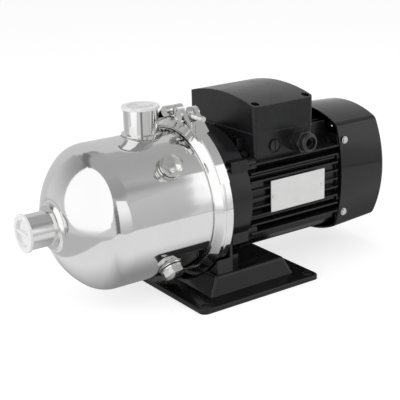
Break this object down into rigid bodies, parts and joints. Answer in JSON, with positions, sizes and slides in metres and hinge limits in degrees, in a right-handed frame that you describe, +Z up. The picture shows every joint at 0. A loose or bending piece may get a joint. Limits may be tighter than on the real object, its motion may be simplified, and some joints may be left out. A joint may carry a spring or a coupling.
{
  "type": "horizontal multistage pump",
  "caption": "Horizontal multistage centrifugal pump: polished steel casing, V-band clamp, finned black motor and base plate.",
  "frame": {"origin": "centre of the four base holes, on the underside of the base plate", "axes": "+X along the shaft from the suction port to the fan cover, +Z up along the discharge port, +Y away from the side with the plugs and the cable gland"},
  "size_m": [0.4754, 0.218, 0.2236],
  "materials": {
    "polished_stainless": "mirror polish",
    "brushed_stainless": "satin",
    "black_paint": "semi gloss",
    "zinc_steel": "zinc plated",
    "blackened_steel": "blackened",
    "bearing_steel": "ground",
    "electrical_steel": "oiled",
    "copper_enamel": "varnished",
    "brass": "machined",
    "rubber": "matte",
    "ceramic": "lapped",
    "plate_silver": "satin",
    "moulding_black": "moulded",
    "cap_white": "moulded"
  },
  "bodies": {
    "pump_and_motor": {"base_plate": "black_paint", "foot_bolts": "zinc_steel", "motor_bracket": "black_paint", "motor_bolts": "zinc_steel", "pump_casing": "polished_stainless", "suction_stub": "polished_stainless", "discharge_stub": "polished_stainless", "plug_bosses": "polished_stainless", "plug_washers": "rubber", "clamp_ring": "polished_stainless", "clamp_strap_near": "polished_stainless", "clamp_strap_far": "polished_stainless", "clamp_trunnion": "zinc_steel", "casing_o_ring": "rubber", "inlet_guide": "brushed_stainless", "stage_chambers": "brushed_stainless", "stage_straps": "brushed_stainless", "seal_plate": "brushed_stainless", "seal_seat": "ceramic", "motor_frame": "black_paint", "rear_shield": "black_paint", "tie_rods": "black_paint", "stator_core": "electrical_steel", "stator_windings": "copper_enamel", "front_bearing_outer": "bearing_steel", "rear_bearing_outer": "bearing_steel", "fan_cover": "black_paint", "cover_screws": "zinc_steel", "nameplate": "plate_silver", "nameplate_rivets": "zinc_steel", "earth_screw": "blackened_steel", "terminal_box": "black_paint", "terminal_gasket": "rubber", "terminal_block": "moulding_black", "terminal_studs": "brass", "cable_gland_body": "moulding_black", "gland_seal": "rubber", "gland_nut": "moulding_black", "blanking_plug": "moulding_black"},
    "rotor": {"shaft": "brushed_stainless", "impellers": "brushed_stainless", "shaft_spacers": "brushed_stainless", "impeller_nut": "brushed_stainless", "seal_rotating_ring": "ceramic", "seal_bellows": "rubber", "slinger": "rubber", "motor_rotor": "electrical_steel", "front_bearing_inner": "bearing_steel", "rear_bearing_inner": "bearing_steel", "cooling_fan": "moulding_black", "fan_clip": "zinc_steel"},
    "suction_cap": {"suction_cap": "cap_white"},
    "discharge_cap": {"discharge_cap": "cap_white"},
    "priming_plug": {"priming_plug": "zinc_steel"},
    "drain_plug": {"drain_plug": "zinc_steel"},
    "terminal_lid": {"terminal_lid": "black_paint", "lid_screws": "blackened_steel"},
    "clamp_t_bolt": {"clamp_t_bolt": "zinc_steel"},
    "clamp_nut": {"clamp_nut": "zinc_steel"}
  },
  "joints": [
    {"name": "rotor_spin", "type": "hinge", "parent": "pump_and_motor", "child": "rotor", "pos_m": [0, 0, 0.105], "axis": [1, 0, 0], "continuous": true},
    {"name": "suction_cap_pull", "type": "slide", "parent": "pump_and_motor", "child": "suction_cap", "axis": [-1, 0, 0], "range_m": [0, 0.045]},
    {"name": "discharge_cap_pull", "type": "slide", "parent": "pump_and_motor", "child": "discharge_cap", "axis": [0, 0, 1], "range_m": [0, 0.045]},
    {"name": "priming_plug_pull", "type": "slide", "parent": "pump_and_motor", "child": "priming_plug", "axis": [0, -0.7337, 0.6794], "range_m": [0, 0.03]},
    {"name": "drain_plug_pull", "type": "slide", "parent": "pump_and_motor", "child": "drain_plug", "axis": [0, -0.749, -0.6626], "range_m": [0, 0.03]},
    {"name": "terminal_lid_lift", "type": "slide", "parent": "pump_and_motor", "child": "terminal_lid", "axis": [0, 0, 1], "range_m": [0, 0.06]},
    {"name": "t_bolt_swing", "type": "hinge", "parent": "pump_and_motor", "child": "clamp_t_bolt", "pos_m": [-0.0385, 0.012, 0.20789], "axis": [-1, 0, 0], "range_deg": [0, 90]},
    {"name": "clamp_nut_travel", "type": "slide", "parent": "clamp_t_bolt", "child": "clamp_nut", "axis": [0, -1, 0], "range_m": [0, 0.02]}
  ]
}
